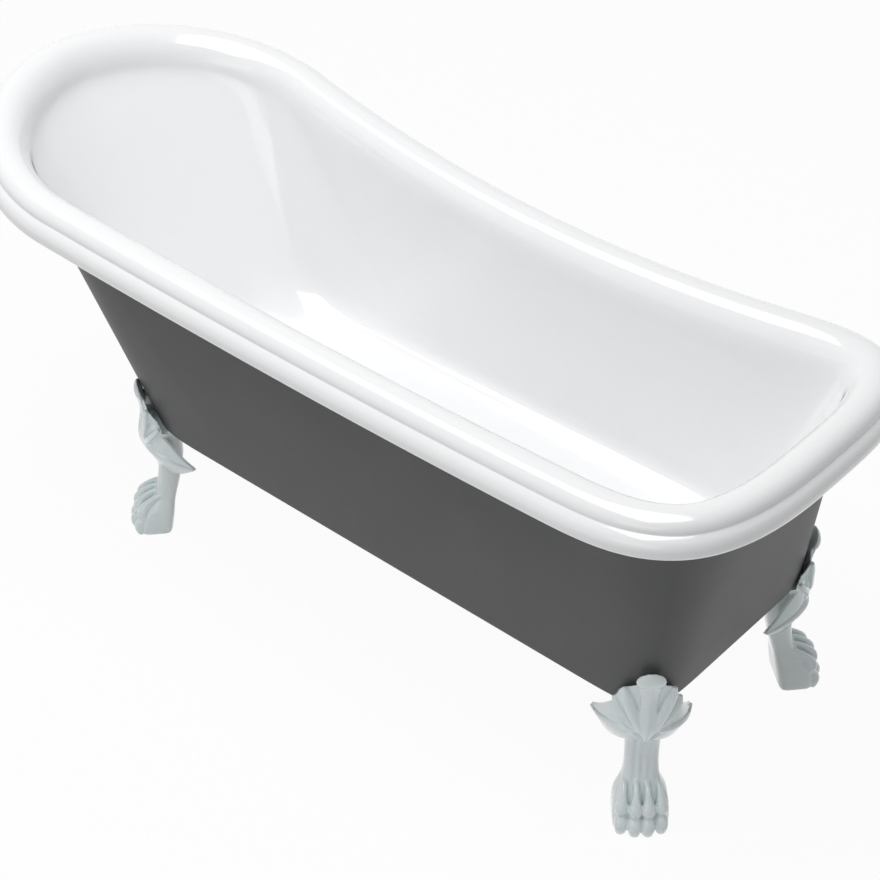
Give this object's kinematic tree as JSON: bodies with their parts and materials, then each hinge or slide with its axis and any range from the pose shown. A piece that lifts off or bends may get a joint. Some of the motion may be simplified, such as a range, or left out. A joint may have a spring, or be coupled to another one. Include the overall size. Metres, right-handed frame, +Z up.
{
  "type": "clawfoot slipper bathtub",
  "caption": "Free-standing slipper bath with a rolled white rim, dark skin, cast claw feet with levelling screws, and a pop-up waste worked by a turning overflow knob.",
  "frame": {"origin": "on the floor under the middle of the bath's length and width", "axes": "+X along the length from the raised head end to the low end where the waste is, +Y to the far long side, +Z up"},
  "size_m": [1.6996, 0.6984, 0.7581],
  "materials": {
    "acrylic_white": "gloss white sanitary acrylic, reinforced behind",
    "skin_grey": "satin dark grey paint on reinforced resin",
    "plywood": "sealed plywood",
    "timber": "planed softwood",
    "foot_paint": "pale bluish-white gloss paint on cast metal",
    "zinc_steel": "zinc-plated steel",
    "seal_rubber": "black rubber",
    "chrome": "polished chrome",
    "fitting_plastic": "white moulded plastic",
    "hose_plastic": "grey corrugated plastic hose",
    "cable_plastic": "black sheathed cable"
  },
  "bodies": {
    "tub": {"basin_shell": "acrylic_white", "outer_skin": "skin_grey", "base_board": "plywood", "bearer_head": "timber", "bearer_middle": "timber", "bearer_low_near": "timber", "bearer_low_far": "timber", "corner_block_low_near": "timber", "corner_block_low_far": "timber", "corner_block_head_near": "timber", "corner_block_head_far": "timber", "claw_foot_low_near": "foot_paint", "claw_foot_low_far": "foot_paint", "claw_foot_head_near": "foot_paint", "claw_foot_head_far": "foot_paint", "foot_bolts": "zinc_steel", "foot_washers": "zinc_steel", "threaded_inserts": "zinc_steel", "waste_flange_seal": "seal_rubber", "waste_body_gasket": "seal_rubber", "waste_flange": "chrome", "waste_body": "fitting_plastic", "overflow_faceplate": "chrome", "overflow_gasket": "seal_rubber", "overflow_body": "fitting_plastic", "overflow_hose": "hose_plastic", "control_cable": "cable_plastic"},
    "plug_set": {"plug": "chrome", "plug_seal": "seal_rubber", "lifting_pin": "chrome"},
    "overflow_control": {"overflow_knob": "chrome", "overflow_spindle": "chrome"},
    "leveller_low_near": {"levelling_foot_low_near": "zinc_steel"},
    "leveller_low_far": {"levelling_foot_low_far": "zinc_steel"},
    "leveller_head_near": {"levelling_foot_head_near": "zinc_steel"},
    "leveller_head_far": {"levelling_foot_head_far": "zinc_steel"}
  },
  "joints": [
    {"name": "plug_lift", "type": "slide", "parent": "tub", "child": "plug_set", "axis": [0, 0, 1], "range_m": [0, 0.01]},
    {"name": "knob_turn", "type": "hinge", "parent": "tub", "child": "overflow_control", "pos_m": [0.70814, 0, 0.48], "axis": [-0.9347, 0, 0.3554], "range_deg": [0, 90]},
    {"name": "level_low_near", "type": "slide", "parent": "tub", "child": "leveller_low_near", "axis": [0, 0, -1], "range_m": [0, 0.012]},
    {"name": "level_low_far", "type": "slide", "parent": "tub", "child": "leveller_low_far", "axis": [0, 0, -1], "range_m": [0, 0.012]},
    {"name": "level_head_near", "type": "slide", "parent": "tub", "child": "leveller_head_near", "axis": [0, 0, -1], "range_m": [0, 0.012]},
    {"name": "level_head_far", "type": "slide", "parent": "tub", "child": "leveller_head_far", "axis": [0, 0, -1], "range_m": [0, 0.012]}
  ],
  "couplings": [
    {"joint": "plug_lift", "follows": "knob_turn", "m_per_rad": 0.006366}
  ]
}
